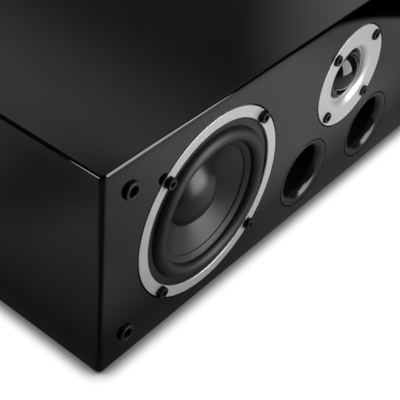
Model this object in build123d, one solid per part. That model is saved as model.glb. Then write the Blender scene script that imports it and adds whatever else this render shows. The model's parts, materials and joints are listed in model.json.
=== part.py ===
from build123d import *
import os
from math import pi, sin

# Centre channel loudspeaker: a gloss cabinet that lies on its side, with two woofers,
# one tweeter above two bass reflex ports, four grille sockets and a pair of binding posts.
# Millimetres. +X runs along the front, the front faces -Y, +Z is up, and the origin is the
# middle of the underside.

# Cabinet
cabinet_width = 542.0
cabinet_height = 170.0
cabinet_depth = 260.0
panel_thickness = 15.0
baffle_thickness = 22.0
rear_thickness = 16.0
edge_radius = 3.5
brace_thickness = 15.0
brace_rail = 22.0
brace_window_radius = 14.0
mat_thickness = 20.0
mat_margin = 12.0
mat_corner = 12.0

# Where things sit on the front
woofer_spacing = 328.0
tweeter_rise = 24.4
port_floor_gap = 2.7
port_spacing = 88.0
socket_inset_x = 24.8
socket_inset_z = 23.0

# Fits
rebate_gap = 0.8
screw_fit = 0.05
hole_clearance = 0.25
seat_gap = 0.4
glue_line = 0.05
cut_overshoot = 1.0

# Cap screws that hold the drivers
screw_shank_radius = 2.0
screw_head_radius = 4.25
screw_head_height = 4.0
screw_head_chamfer = 0.35
screw_socket_width = 4.0
screw_socket_depth = 2.4
screw_length = 18.0
screws_per_driver = 4
screw_start_angle = 45.0

# Woofer, with heights along its axis counted outwards from the baffle's face
woofer_ring_radius = 72.2
woofer_ring_opening = 63.6
woofer_ring_proud = 0.3
woofer_ring_thickness = 2.5
woofer_ring_bevel = 0.4
woofer_ring_round = 0.4
gasket_thickness = 1.0
frame_flange = 2.5
frame_wall = 2.5
frame_ledge_width = 6.6
frame_shelf_width = 8.8
frame_neck_radius = 35.5
frame_neck_height = 16.0
frame_plate_gap = 5.0
frame_windows = 6
frame_window_angle = 42.0
frame_window_margin = 4.0
surround_thickness = 0.9
surround_roll_width = 11.0
surround_roll_height = 5.2
surround_root = 0.4
surround_lip = 4.2
cone_edge_height = -2.5
cone_slope = 0.49
cone_thickness = 1.1
cap_radius = 24.5
cap_height = 10.0
cap_thickness = 0.8
coil_inner_radius = 12.5
coil_former_wall = 0.4
coil_winding_wall = 0.5
coil_winding_height = 10.0
coil_former_reach = 2.6
magnet_gap = 0.45
pole_vent_radius = 5.0
top_plate_thickness = 6.0
magnet_radius = 45.0
magnet_bore_radius = 25.0
magnet_thickness = 15.0
yoke_radius = 43.0
yoke_thickness = 6.0
spider_thickness = 0.8
spider_wave = 1.2
spider_waves = 4
spider_drop = 8.3
tag_width = 18.0
tag_margin = 0.5
tag_thickness = 1.5
tag_blade = 0.8
tag_blade_width = 4.8
tag_blade_length = 8.0

# Tweeter
tweeter_radius = 41.0
tweeter_proud = 0.3
tweeter_plate = 4.5
tweeter_edge_chamfer = 0.4
tweeter_counterbore = 2.0
tweeter_rim = 10.5
tweeter_horn_radius = 26.5
tweeter_horn_depth = 3.4
tweeter_throat_step = 0.7
tweeter_throat_lip = 0.3
tweeter_dome_radius = 15.0
tweeter_dome_height = 7.5
tweeter_dome_wall = 0.4
tweeter_dome_flange = 5.5
tweeter_roll_width = 5.1
tweeter_roll_height = 1.4
tweeter_coil_inset = 0.5
tweeter_coil_length = 6.4
tweeter_top_plate = 4.0
tweeter_magnet_wall = 13.0
tweeter_magnet_thickness = 10.0
tweeter_yoke_step = 1.0
tweeter_yoke_thickness = 4.4
tweeter_vent_radius = 4.0

# Reflex ports
port_radius = 21.0
port_flare = 7.2
port_wall = 2.3
port_flange = 3.0
port_rim = 0.3
port_length = 110.0
port_gap = 0.3

# Grille sockets
socket_flange_radius = 6.5
socket_proud = 2.4
socket_round = 0.7
socket_body_radius = 5.5
socket_bore_radius = 4.0
socket_bore_depth = 10.0
socket_floor = 2.0

# Terminal cup and binding posts, with heights counted outwards from the rear face
cup_width = 104.0
cup_height = 84.0
cup_corner = 10.0
cup_flange = 3.0
cup_rim = 10.0
cup_depth = 22.0
cup_wall = 2.5
cup_screw_inset = 5.0
cup_screw_shank = 1.5
cup_screw_head = 2.8
cup_screw_head_height = 1.5
cup_screw_head_round = 0.9
cup_screw_slot = 0.6
cup_screw_length = 14.0
post_spacing = 36.0
post_boss_radius = 8.0
post_boss_height = 3.0
post_stud_radius = 3.5
post_socket_radius = 2.0
post_socket_depth = 11.0
post_wire_hole_radius = 1.4
post_running_gap = 0.05
post_washer_radius = 6.5
post_washer_thickness = 1.2
post_knob_radius = 7.5
post_knob_length = 14.0
post_knob_flutes = 16
post_knob_flute_radius = 0.9
post_knob_collar = 2.5
post_knob_chamfer = 0.8
post_nut_width = 11.0
post_nut_thickness = 4.0
post_tail = 8.0

# Crossover
board_thickness = 1.6
board_corner = 3.0
standoff_height = 8.0
standoff_radius = 4.0
standoff_inset = 7.0
part_spacing = 2.0
woofer_choke_radius = 20.0
woofer_choke_height = 22.0
tweeter_choke_radius = 15.0
tweeter_choke_height = 14.0
choke_flange = 1.5
choke_wire = 10.0
capacitor_radius = 9.0
capacitor_length = 34.0
capacitor_round = 1.3
resistor_length = 34.0
resistor_width = 10.0
resistor_height = 9.0
part_lift = 0.3

# Places worked out from the sizes above
front_y = -cabinet_depth / 2
rear_y = cabinet_depth / 2
middle_z = cabinet_height / 2
baffle_back_y = front_y + baffle_thickness
rear_inner_y = rear_y - rear_thickness
inner_length = rear_inner_y - baffle_back_y
inner_middle_y = (rear_inner_y + baffle_back_y) / 2
inner_width = cabinet_width - 2 * panel_thickness
inner_height = cabinet_height - 2 * panel_thickness
woofer_x = woofer_spacing / 2
tweeter_z = middle_z + tweeter_rise
port_x = port_spacing / 2
port_z = panel_thickness + port_floor_gap + port_radius + port_wall
port_rim_radius = port_radius + port_flare + port_rim
woofer_opening = woofer_ring_opening + rebate_gap
port_opening = port_radius + port_wall + port_gap
brace_x = (woofer_x - woofer_opening + port_x + port_opening) / 2
socket_x = cabinet_width / 2 - socket_inset_x
socket_z = middle_z - socket_inset_z
sides = {"left": -1, "right": 1}

nodes = {}


def turned(*points):
    """A solid of revolution about Z from the corners of its section, each (radius, height)."""
    return revolve(Plane.XZ * make_face(Polyline(*points, close=True)), Axis.Z)


def turned_section(edges):
    """A solid of revolution about Z from a closed section of lines and arcs."""
    return revolve(Plane.XZ * make_face(edges), Axis.Z)


def ring(outer, inner, low, high):
    """A flat ring or tube about Z."""
    return turned((inner, low), (outer, low), (outer, high), (inner, high))


def rod(radius, low, high):
    """A solid cylinder about Z."""
    return Pos(0, 0, low) * Cylinder(radius, high - low, align=(Align.CENTER, Align.CENTER, Align.MIN))


def around(shape, radius, count, start=0.0):
    """Copies of a shape on a circle about Z."""
    return [place * shape for place in PolarLocations(radius, count, start)]


def on_front(x, z):
    """Carries a driver's own axis, pointing out of the box, to a place on the baffle."""
    return Location((x, front_y, z), (90, 0, 0))


def on_rear(x, z):
    """Carries an axis that points out of the box to a place on the rear panel."""
    return Location((x, rear_y, z), (-90, 0, 0))


def box_between(low, high):
    """A box from its lowest to its highest corner."""
    size = [b - a for a, b in zip(low, high)]
    return Pos(*low) * Box(*size, align=(Align.MIN, Align.MIN, Align.MIN))


# Screws

def cap_screw(seat):
    """A socket head cap screw whose head stands on the height given."""
    head = rod(screw_head_radius, seat, seat + screw_head_height)
    head = chamfer(head.edges().group_by(Axis.Z)[-1], screw_head_chamfer)
    shank = rod(screw_shank_radius, seat - screw_length, seat)
    hexagon = RegularPolygon(screw_socket_width / 2, 6, major_radius=False)
    recess = Pos(0, 0, seat + screw_head_height - screw_socket_depth) * extrude(hexagon, screw_socket_depth)
    return head + shank - recess


def screw_holes(circle, low, high, clearance):
    """Holes for a driver's screws between two heights."""
    hole = rod(screw_shank_radius + clearance, low, high)
    return around(hole, circle, screws_per_driver, screw_start_angle)


# Woofer

woofer_screw_circle = (woofer_ring_radius + woofer_ring_opening) / 2
ring_back = woofer_ring_proud - woofer_ring_thickness
flange_back = ring_back - frame_flange
ledge_inner = woofer_ring_opening - frame_ledge_width
roll_outer = ledge_inner + surround_root
roll_inner = roll_outer - surround_roll_width
roll_middle = (roll_outer + roll_inner) / 2
cone_radius = roll_inner - surround_root
former_radius = coil_inner_radius + coil_former_wall
winding_radius = former_radius + coil_winding_wall


def cone_face(radius):
    """Height of the cone's front at a radius."""
    return cone_edge_height - cone_slope * (cone_radius - radius)


cone_neck = former_radius + glue_line
neck_bottom = cone_face(cone_neck) - cone_thickness
shelf_height = neck_bottom - spider_drop
shelf_radius = frame_neck_radius + frame_shelf_width
shelf_bottom = shelf_height - frame_wall
frame_back = shelf_height - frame_neck_height
plate_low = frame_back - top_plate_thickness
magnet_low = plate_low - magnet_thickness
yoke_low = magnet_low - yoke_thickness
gap_middle = frame_back - top_plate_thickness / 2


def trim_ring():
    body = turned(
        (woofer_ring_opening, ring_back),
        (woofer_ring_radius, ring_back),
        (woofer_ring_radius, woofer_ring_proud - woofer_ring_round),
        (woofer_ring_radius - woofer_ring_round, woofer_ring_proud),
        (woofer_ring_opening + woofer_ring_bevel, woofer_ring_proud),
        (woofer_ring_opening, woofer_ring_proud - woofer_ring_bevel),
    )
    low, high = ring_back - cut_overshoot, woofer_ring_proud + cut_overshoot
    return body - screw_holes(woofer_screw_circle, low, high, hole_clearance)


def woofer_frame():
    neck_outer = frame_neck_radius + frame_wall
    shelf_outer = shelf_radius + frame_wall
    plate_hole = winding_radius + frame_plate_gap
    body = turned(
        (ledge_inner, ring_back),
        (woofer_ring_radius, ring_back),
        (woofer_ring_radius, flange_back),
        (ledge_inner + frame_wall, flange_back),
        (shelf_outer, shelf_height),
        (shelf_outer, shelf_bottom),
        (neck_outer, shelf_bottom),
        (neck_outer, frame_back),
        (plate_hole, frame_back),
        (plate_hole, frame_back + frame_wall),
        (frame_neck_radius, frame_back + frame_wall),
        (frame_neck_radius, shelf_height),
        (shelf_radius, shelf_height),
        (ledge_inner, flange_back),
    )
    window_top = flange_back - frame_window_margin
    window_low = shelf_height + frame_window_margin
    section = Pos(0, (window_top + window_low) / 2) * Rectangle(
        woofer_ring_opening, window_top - window_low, align=(Align.MIN, Align.CENTER)
    )
    window = revolve(Plane.XZ * section, Axis.Z, frame_window_angle)
    windows = [Rot(0, 0, 360 / frame_windows * i) * window for i in range(frame_windows)]
    low, high = flange_back - cut_overshoot, ring_back + cut_overshoot
    return body - windows - screw_holes(woofer_screw_circle, low, high, hole_clearance)


def woofer_gasket():
    low = flange_back - gasket_thickness
    body = ring(woofer_ring_radius, woofer_opening, low, flange_back)
    return body - screw_holes(woofer_screw_circle, low - cut_overshoot, 0, hole_clearance)


def surround():
    """A half roll between a lip on the frame's ledge and a lip on the cone."""
    wall = surround_thickness
    low = ring_back
    rim = woofer_ring_opening - seat_gap
    lip_radius = cone_radius - surround_lip
    lip_face = cone_face(lip_radius) + glue_line
    root = cone_face(cone_radius) + glue_line
    top = [
        (rim, low + wall),
        (roll_outer, low + wall),
        (roll_middle, low + wall + surround_roll_height),
        (roll_inner, root + wall),
        (lip_radius, lip_face + wall),
    ]
    under = [
        (lip_radius, lip_face),
        (cone_radius, root),
        (roll_inner + wall, root),
        (roll_middle, low + surround_roll_height),
        (roll_outer - wall, low),
        (rim, low),
    ]
    return turned_section([
        Line(top[0], top[1]),
        ThreePointArc(top[1], top[2], top[3]),
        Line(top[3], top[4]),
        Line(top[4], under[0]),
        Line(under[0], under[1]),
        Line(under[1], under[2]),
        ThreePointArc(under[2], under[3], under[4]),
        Line(under[4], under[5]),
        Line(under[5], top[0]),
    ])


def cone():
    return turned(
        (cone_radius, cone_edge_height),
        (cone_neck, cone_face(cone_neck)),
        (cone_neck, neck_bottom),
        (cone_radius, cone_edge_height - cone_thickness),
    )


def crown_arc(radius, base, height):
    """The section of a spherical cap, from its rim to its crown on the axis."""
    sphere = (radius**2 + height**2) / (2 * height)
    halfway = base + height - sphere + (sphere**2 - radius**2 / 4) ** 0.5
    return ThreePointArc((radius, base), (radius / 2, halfway), (0, base + height))


def dust_cap():
    """A thin spherical cap that stands on the cone by its rim."""
    base = cone_face(cap_radius) + glue_line
    inner_radius = cap_radius - cap_thickness
    inner_height = cap_height - cap_thickness
    return turned_section([
        Line((inner_radius, base), (cap_radius, base)),
        crown_arc(cap_radius, base, cap_height),
        Line((0, base + cap_height), (0, base + inner_height)),
        crown_arc(inner_radius, base, inner_height),
    ])


def voice_coil():
    low = gap_middle - coil_winding_height / 2
    former = ring(former_radius, coil_inner_radius, low, cone_face(cone_neck) + coil_former_reach)
    return former + ring(winding_radius, coil_inner_radius, low, low + coil_winding_height)


def spider():
    """A corrugated disc between the coil's former and the frame's shelf."""
    outer = shelf_radius - seat_gap
    low = shelf_height
    steps = 4 * spider_waves
    span = frame_neck_radius - seat_gap - cone_neck

    def wave(i):
        return cone_neck + span * i / steps, low + spider_wave * sin(2 * pi * spider_waves * i / steps)

    under = [wave(i) for i in range(steps + 1)]
    over = [(radius, height + spider_thickness) for radius, height in under]
    return turned(*under, (outer, low), (outer, low + spider_thickness), *reversed(over))


def top_plate():
    return ring(magnet_radius, winding_radius + magnet_gap, plate_low, frame_back)


def magnet():
    return ring(magnet_radius, magnet_bore_radius, magnet_low, plate_low)


def yoke():
    """The back plate and the pole that stands inside the coil, pierced by a vent."""
    pole = coil_inner_radius - magnet_gap
    return turned(
        (pole_vent_radius, yoke_low),
        (yoke_radius, yoke_low),
        (yoke_radius, magnet_low),
        (pole, magnet_low),
        (pole, frame_back),
        (pole_vent_radius, frame_back),
    )


def tag_strip():
    """The strip under the spider's shelf that carries the two connection blades."""
    reach = frame_shelf_width - 2 * tag_margin
    middle = (shelf_radius + frame_neck_radius) / 2 + frame_wall
    low = shelf_bottom - tag_thickness
    strip = box_between(
        (-tag_width / 2, middle - reach / 2, low),
        (tag_width / 2, middle + reach / 2, shelf_bottom),
    )
    blade = box_between(
        (-tag_blade_width / 2, middle - tag_blade / 2, low - tag_blade_length),
        (tag_blade_width / 2, middle + tag_blade / 2, low),
    )
    return strip + [Pos(shift * tag_width / 4, 0, 0) * blade for shift in (-1, 1)]


def woofer_cutout():
    """What a woofer takes out of the baffle: rebate, opening and pilot holes."""
    rebate = rod(woofer_ring_radius + rebate_gap, flange_back - gasket_thickness, cut_overshoot)
    opening = rod(woofer_opening, -baffle_thickness - cut_overshoot, cut_overshoot)
    pilot_end = woofer_ring_proud - screw_length - cut_overshoot
    pilots = screw_holes(woofer_screw_circle, pilot_end, 0, screw_fit)
    return [rebate, opening, *pilots]


def add_woofer(side):
    place = on_front(sides[side] * woofer_x, middle_z)
    pieces = {
        "trim_ring": trim_ring(),
        "frame": woofer_frame(),
        "gasket": woofer_gasket(),
        "surround": surround(),
        "cone": cone(),
        "dust_cap": dust_cap(),
        "voice_coil": voice_coil(),
        "spider": spider(),
        "top_plate": top_plate(),
        "magnet": magnet(),
        "yoke": yoke(),
        "tag_strip": tag_strip(),
    }
    for name, piece in pieces.items():
        nodes[f"woofer_{side}_{name}"] = place * piece


# Tweeter

tweeter_back = tweeter_proud - tweeter_plate
tweeter_screw_seat = tweeter_proud - tweeter_counterbore
tweeter_boss_radius = tweeter_radius - tweeter_rim
tweeter_screw_circle = tweeter_radius - tweeter_rim / 2
tweeter_throat_radius = tweeter_dome_radius + tweeter_roll_width + tweeter_dome_wall
horn_mouth = tweeter_proud - tweeter_horn_depth
dome_base = horn_mouth - 2 * tweeter_throat_step - tweeter_throat_lip
tweeter_magnet_radius = tweeter_boss_radius - seat_gap
tweeter_coil_radius = tweeter_dome_radius - tweeter_coil_inset
tweeter_plate_top = dome_base - tweeter_dome_wall
tweeter_plate_low = tweeter_plate_top - tweeter_top_plate
tweeter_magnet_low = tweeter_plate_low - tweeter_magnet_thickness
tweeter_yoke_low = tweeter_magnet_low - tweeter_yoke_thickness
tweeter_former_radius = tweeter_coil_radius + coil_former_wall
tweeter_pole_radius = tweeter_coil_radius - magnet_gap


def tweeter_faceplate():
    """A flat plate that curls into a short horn, with fine steps down to the throat."""
    step = tweeter_throat_step
    lip = tweeter_throat_radius + 2 * step
    reach = tweeter_horn_radius - lip
    curve = (reach**2 + tweeter_horn_depth**2) / (2 * tweeter_horn_depth)
    halfway = tweeter_proud - curve + (curve**2 - reach**2 / 4) ** 0.5
    rim = [
        (lip, horn_mouth),
        (lip, horn_mouth - step),
        (lip - step, horn_mouth - step),
        (lip - step, horn_mouth - 2 * step),
        (tweeter_throat_radius, horn_mouth - 2 * step),
        (tweeter_throat_radius, dome_base),
        (tweeter_boss_radius, dome_base),
        (tweeter_boss_radius, tweeter_back),
        (tweeter_radius, tweeter_back),
        (tweeter_radius, tweeter_proud - tweeter_edge_chamfer),
        (tweeter_radius - tweeter_edge_chamfer, tweeter_proud),
        (tweeter_horn_radius, tweeter_proud),
    ]
    horn = ThreePointArc(rim[-1], (tweeter_horn_radius - reach / 2, halfway), rim[0])
    body = turned_section([Polyline(*rim), horn])
    low, high = tweeter_back - cut_overshoot, tweeter_proud + cut_overshoot
    recess = rod(screw_head_radius + hole_clearance, tweeter_screw_seat, high)
    recesses = around(recess, tweeter_screw_circle, screws_per_driver, screw_start_angle)
    return body - screw_holes(tweeter_screw_circle, low, high, hole_clearance) - recesses


def tweeter_gasket():
    low = tweeter_back - gasket_thickness
    body = ring(tweeter_radius, tweeter_boss_radius + rebate_gap, low, tweeter_back)
    return body - screw_holes(tweeter_screw_circle, low - cut_overshoot, 0, hole_clearance)


def tweeter_dome():
    """Dome, half roll and clamped flange, formed from one sheet."""
    wall = tweeter_dome_wall
    low = dome_base - wall
    roll_start = tweeter_dome_radius
    roll_end = tweeter_dome_radius + tweeter_roll_width
    crest = (roll_start + roll_end) / 2
    crest_top = (crest, dome_base + tweeter_roll_height)
    flange = tweeter_throat_radius + tweeter_dome_flange
    return turned_section([
        crown_arc(roll_start, dome_base, tweeter_dome_height),
        ThreePointArc((roll_start, dome_base), crest_top, (roll_end, dome_base)),
        Line((roll_end, dome_base), (flange, dome_base)),
        Line((flange, dome_base), (flange, low)),
        Line((flange, low), (roll_end - wall, low)),
        ThreePointArc((roll_end - wall, low), (crest, low + tweeter_roll_height), (roll_start + wall, low)),
        Line((roll_start + wall, low), (roll_start - wall, low)),
        crown_arc(roll_start - wall, low, tweeter_dome_height),
        Line((0, low + tweeter_dome_height), (0, dome_base + tweeter_dome_height)),
    ])


def tweeter_voice_coil():
    top = dome_base - tweeter_dome_wall - glue_line
    return ring(tweeter_former_radius, tweeter_coil_radius, top - tweeter_coil_length, top)


def tweeter_plate_ring():
    gap = tweeter_former_radius + magnet_gap
    return ring(tweeter_magnet_radius, gap, tweeter_plate_low, tweeter_plate_top)


def tweeter_magnet():
    bore = tweeter_magnet_radius - tweeter_magnet_wall
    return ring(tweeter_magnet_radius, bore, tweeter_magnet_low, tweeter_plate_low)


def tweeter_yoke():
    plate = tweeter_magnet_radius - tweeter_yoke_step
    return turned(
        (tweeter_vent_radius, tweeter_yoke_low),
        (plate, tweeter_yoke_low),
        (plate, tweeter_magnet_low),
        (tweeter_pole_radius, tweeter_magnet_low),
        (tweeter_pole_radius, tweeter_plate_top),
        (tweeter_vent_radius, tweeter_plate_top),
    )


def tweeter_cutout():
    rebate = rod(tweeter_radius + rebate_gap, tweeter_back - gasket_thickness, cut_overshoot)
    opening = rod(tweeter_boss_radius + rebate_gap, -baffle_thickness - cut_overshoot, cut_overshoot)
    pilot_end = tweeter_screw_seat - screw_length - cut_overshoot
    pilots = screw_holes(tweeter_screw_circle, pilot_end, 0, screw_fit)
    return [rebate, opening, *pilots]


def add_tweeter():
    place = on_front(0, tweeter_z)
    pieces = {
        "faceplate": tweeter_faceplate(),
        "gasket": tweeter_gasket(),
        "dome": tweeter_dome(),
        "voice_coil": tweeter_voice_coil(),
        "top_plate": tweeter_plate_ring(),
        "magnet": tweeter_magnet(),
        "yoke": tweeter_yoke(),
    }
    for name, piece in pieces.items():
        nodes[f"tweeter_{name}"] = place * piece


def add_driver_screws():
    """The same cap screw in every hole of the three drivers."""
    drivers = [
        (on_front(-woofer_x, middle_z), woofer_screw_circle, woofer_ring_proud),
        (on_front(woofer_x, middle_z), woofer_screw_circle, woofer_ring_proud),
        (on_front(0, tweeter_z), tweeter_screw_circle, tweeter_screw_seat),
    ]
    screws = []
    for place, circle, seat in drivers:
        ring_of_screws = around(cap_screw(seat), circle, screws_per_driver, screw_start_angle)
        screws += [place * screw for screw in ring_of_screws]
    nodes["driver_screws"] = Compound(screws)


# Reflex ports

def port_tube():
    """A flush rim, a flare that rolls in from the baffle and a plain tube."""
    outer = port_radius + port_wall
    mouth = port_radius + port_flare
    corner = port_flare * (1 - 0.5**0.5)
    flare = ThreePointArc((mouth, 0), (port_radius + corner, -corner), (port_radius, -port_flare))
    wall = Polyline(
        (port_radius, -port_flare),
        (port_radius, -port_length),
        (outer, -port_length),
        (outer, -port_flange),
        (port_rim_radius, -port_flange),
        (port_rim_radius, 0),
        (mouth, 0),
    )
    return turned_section([flare, wall])


def port_cutout():
    rebate = rod(port_rim_radius + port_gap, -port_flange, cut_overshoot)
    return [rebate, rod(port_opening, -baffle_thickness - cut_overshoot, cut_overshoot)]


# Grille sockets

socket_length = socket_bore_depth + socket_floor - socket_proud


def grille_socket():
    """A flanged cup pressed into the baffle, open to the front."""
    return turned(
        (socket_bore_radius, socket_proud),
        (socket_bore_radius, socket_proud - socket_bore_depth),
        (0, socket_proud - socket_bore_depth),
        (0, -socket_length),
        (socket_body_radius, -socket_length),
        (socket_body_radius, 0),
        (socket_flange_radius, 0),
        (socket_flange_radius, socket_proud - socket_round),
        (socket_flange_radius - socket_round, socket_proud),
    )


def socket_places():
    return [on_front(x * socket_x, middle_z + z * socket_z) for x in (-1, 1) for z in (-1, 1)]


def socket_cutout():
    return rod(socket_body_radius + screw_fit, -baffle_thickness - cut_overshoot, cut_overshoot)


# Cabinet

def mitred(corners):
    """A bar along Y with the section given, which cuts one wall out of the carcass."""
    section = make_face(Polyline(*corners, close=True))
    return Pos(0, baffle_back_y, 0) * extrude(Plane.XZ * section, -inner_length)


def add_cabinet():
    half, top = cabinet_width / 2, cabinet_height
    block = Pos(0, 0, middle_z) * fillet(Box(cabinet_width, cabinet_depth, top).edges(), edge_radius)
    baffle = block & box_between((-half, front_y, 0), (half, baffle_back_y, top))
    rear = block & box_between((-half, rear_inner_y, 0), (half, rear_y, top))
    corners = {
        "outer": [(-half, 0), (half, 0), (half, top), (-half, top)],
        "inner": [
            (-half + panel_thickness, panel_thickness),
            (half - panel_thickness, panel_thickness),
            (half - panel_thickness, top - panel_thickness),
            (-half + panel_thickness, top - panel_thickness),
        ],
    }
    walls = ["bottom_panel", "right_side_panel", "top_panel", "left_side_panel"]
    for i, name in enumerate(walls):
        j = (i + 1) % len(walls)
        section = [corners["outer"][i], corners["outer"][j], corners["inner"][j], corners["inner"][i]]
        nodes[name] = block & mitred(section)
    for direction in sides.values():
        baffle -= [on_front(direction * woofer_x, middle_z) * cut for cut in woofer_cutout()]
        baffle -= [on_front(direction * port_x, port_z) * cut for cut in port_cutout()]
    baffle -= [on_front(0, tweeter_z) * cut for cut in tweeter_cutout()]
    baffle -= [place * socket_cutout() for place in socket_places()]
    nodes["front_baffle"] = baffle
    nodes["rear_panel"] = rear - [on_rear(0, middle_z) * cut for cut in cup_cutout()]


def add_braces():
    """Window braces that tie the baffle, the rear panel, the top and the bottom together."""
    outline = Rectangle(inner_length, inner_height)
    rail = 2 * brace_rail
    section = outline - RectangleRounded(inner_length - rail, inner_height - rail, brace_window_radius)
    plate = extrude(Plane.YZ * section, brace_thickness / 2, both=True)
    for side, direction in sides.items():
        nodes[f"brace_{side}"] = Pos(direction * brace_x, inner_middle_y, middle_z) * plate


def add_damping():
    """A wadding mat on the rear wall of each outer chamber."""
    low = brace_x + brace_thickness / 2 + mat_margin
    high = inner_width / 2 - mat_margin
    mat = Box(high - low, mat_thickness, inner_height - 2 * mat_margin)
    mat = fillet(mat.edges().filter_by(Axis.Y), mat_corner)
    y = rear_inner_y - mat_thickness / 2
    nodes["damping_mats"] = Compound(
        [Pos(direction * (low + high) / 2, y, middle_z) * mat for direction in sides.values()]
    )


def add_ports():
    for side, direction in sides.items():
        nodes[f"port_{side}"] = on_front(direction * port_x, port_z) * port_tube()


def add_grille_sockets():
    nodes["grille_sockets"] = Compound([place * grille_socket() for place in socket_places()])


# Terminal cup and binding posts

cup_floor = cup_flange - cup_depth
boss_top = cup_floor + post_boss_height
cup_back = cup_floor - cup_wall
washer_top = boss_top + post_washer_thickness
knob_top = washer_top + post_knob_length
post_bore_radius = post_stud_radius + post_running_gap
cup_screw_x = cup_width / 2 - cup_screw_inset
cup_screw_z = cup_height / 2 - cup_screw_inset
cup_body_width = cup_width - 2 * cup_rim + 2 * cup_wall
cup_body_height = cup_height - 2 * cup_rim + 2 * cup_wall


def cup_screw_places(shape):
    return [place * shape for place in GridLocations(2 * cup_screw_x, 2 * cup_screw_z, 2, 2)]


def post_places(shape):
    return [place * shape for place in GridLocations(post_spacing, 0, 2, 1)]


def terminal_cup():
    flange = extrude(RectangleRounded(cup_width, cup_height, cup_corner), cup_flange)
    outline = RectangleRounded(cup_body_width, cup_body_height, cup_corner)
    body = Pos(0, 0, cup_back) * extrude(outline, -cup_back)
    inside = offset(outline, -cup_wall)
    hollow = Pos(0, 0, cup_floor) * extrude(inside, cup_depth + cut_overshoot)
    bosses = post_places(rod(post_boss_radius, cup_floor, boss_top))
    cup = flange + body - hollow + bosses
    cup -= post_places(rod(post_bore_radius, cup_back - cut_overshoot, boss_top + cut_overshoot))
    screw_hole = rod(cup_screw_shank + hole_clearance, -cut_overshoot, cup_flange + cut_overshoot)
    return cup - cup_screw_places(screw_hole)


def cup_cutout():
    outline = offset(RectangleRounded(cup_body_width, cup_body_height, cup_corner), rebate_gap)
    opening = extrude(outline, rear_thickness + cut_overshoot, both=True)
    pilot_end = cup_flange - cup_screw_length - cut_overshoot
    pilots = cup_screw_places(rod(cup_screw_shank + screw_fit, pilot_end, cut_overshoot))
    return [opening, *pilots]


def cup_screw():
    head = rod(cup_screw_head, cup_flange, cup_flange + cup_screw_head_height)
    head = fillet(head.edges().group_by(Axis.Z)[-1], cup_screw_head_round)
    slot = Pos(0, 0, cup_flange + cup_screw_head_height) * (
        Box(cup_screw_head, cup_screw_slot, cup_screw_head_height)
        + Box(cup_screw_slot, cup_screw_head, cup_screw_head_height)
    )
    return head - slot + rod(cup_screw_shank, cup_flange - cup_screw_length, cup_flange)


def post_stud():
    """A threaded post with a plug socket in its end and a wire hole across its foot."""
    tail = cup_back - post_nut_thickness - post_tail
    stud = rod(post_stud_radius, tail, knob_top)
    stud -= rod(post_socket_radius, knob_top - post_socket_depth, knob_top + cut_overshoot)
    wire_hole = Rot(90, 0, 0) * Cylinder(post_wire_hole_radius, 2 * (post_stud_radius + cut_overshoot))
    return stud - Pos(0, 0, washer_top + post_wire_hole_radius) * wire_hole


def post_washer():
    return ring(post_washer_radius, post_bore_radius, boss_top, washer_top)


def post_knob():
    """A fluted thumb nut on a plain collar, open at the end for a plug."""
    flutes = around(Circle(post_knob_flute_radius), post_knob_radius, post_knob_flutes)
    grip = Circle(post_knob_radius) - flutes
    collar_top = washer_top + post_knob_collar
    fluted = Pos(0, 0, collar_top) * extrude(grip, knob_top - collar_top)
    collar = turned(
        (0, washer_top),
        (post_knob_radius - post_knob_chamfer, washer_top),
        (post_knob_radius, washer_top + post_knob_chamfer),
        (post_knob_radius, collar_top),
        (0, collar_top),
    )
    return fluted + collar - rod(post_bore_radius, washer_top - cut_overshoot, knob_top + cut_overshoot)


def post_nut():
    low = cup_back - post_nut_thickness
    nut = extrude(RegularPolygon(post_nut_width / 2, 6, major_radius=False), post_nut_thickness)
    return Pos(0, 0, low) * nut - rod(post_bore_radius, low - cut_overshoot, cup_back + cut_overshoot)


def add_terminals():
    place = on_rear(0, middle_z)
    nodes["terminal_cup"] = place * terminal_cup()
    nodes["terminal_cup_screws"] = Compound([place * screw for screw in cup_screw_places(cup_screw())])
    nodes["terminal_nuts"] = Compound([place * nut for nut in post_places(post_nut())])
    for colour, direction in {"black": -1, "red": 1}.items():
        post = on_rear(direction * post_spacing / 2, middle_z)
        nodes[f"post_{colour}_stud"] = post * post_stud()
        nodes[f"post_{colour}_washer"] = post * post_washer()
        nodes[f"post_{colour}_knob"] = post * post_knob()


# Crossover

column_width = max(capacitor_length, resistor_length, 2 * tweeter_choke_radius)
board_width = 2 * standoff_inset + 2 * woofer_choke_radius + part_spacing + column_width
column_depth = 2 * capacitor_radius + resistor_width + 2 * tweeter_choke_radius + 2 * part_spacing
board_length = 2 * standoff_inset + max(column_depth, 2 * woofer_choke_radius)
board_y = (front_y + port_length + rear_inner_y) / 2
board_low = panel_thickness + standoff_height
board_top = board_low + board_thickness


def choke(radius, height):
    """A wound coil on a flanged bobbin, with the bobbin's hole through it."""
    core = radius - choke_wire
    return turned(
        (core, 0),
        (radius, 0),
        (radius, choke_flange),
        (radius - choke_flange, choke_flange),
        (radius - choke_flange, height - choke_flange),
        (radius, height - choke_flange),
        (radius, height),
        (core, height),
    )


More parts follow.
